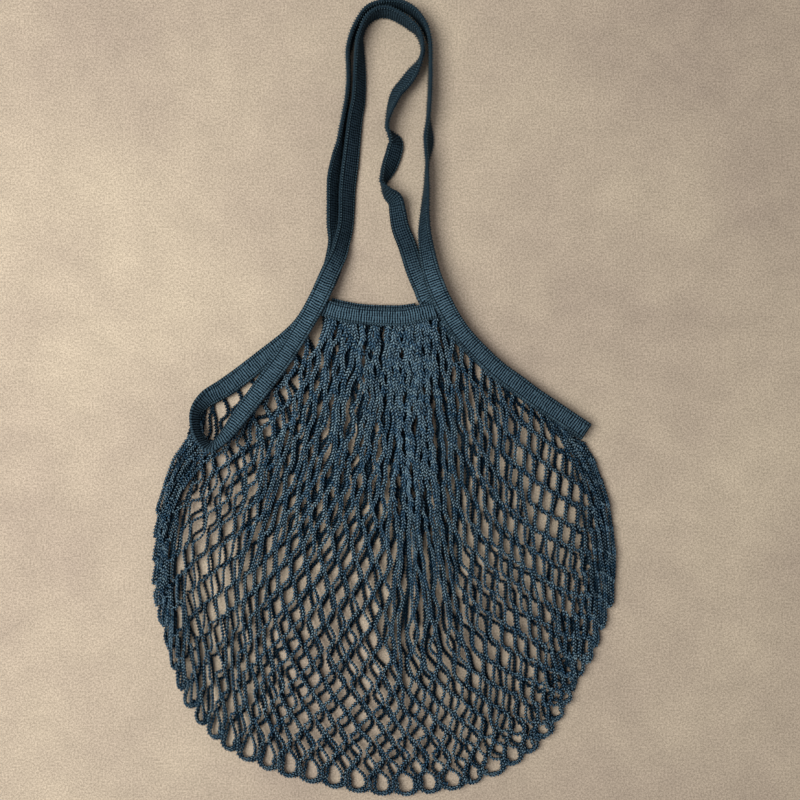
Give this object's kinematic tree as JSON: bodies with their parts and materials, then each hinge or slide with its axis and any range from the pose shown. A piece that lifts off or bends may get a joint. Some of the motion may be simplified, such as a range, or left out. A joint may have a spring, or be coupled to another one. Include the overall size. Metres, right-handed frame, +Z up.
{
  "type": "mesh shopping bag",
  "caption": "Mesh string shopping bag lying flat: a pouch of open diamond net gathered into bands at the mouth, with bound side openings and nested tape handles",
  "frame": {"origin": "centre of the bag's footprint, on the surface it lies on", "axes": "+Y from the pouch's bottom towards the handles, +X to the right seen from above with the handles at the top, +Z up out of the surface"},
  "size_m": [0.3902, 0.67, 0.0218],
  "materials": {
    "net": "matt knitted cotton cord",
    "band": "matt flat-knit cotton tape",
    "binding": "matt ribbed flat-knit cotton tape",
    "handle": "matt ribbed flat-knit cotton tape"
  },
  "bodies": {
    "root": {"net": "net", "band_front": "band", "band_back": "band", "binding_left": "binding", "binding_right": "binding", "handle_inner": "handle", "handle_outer": "handle"}
  },
  "joints": []
}
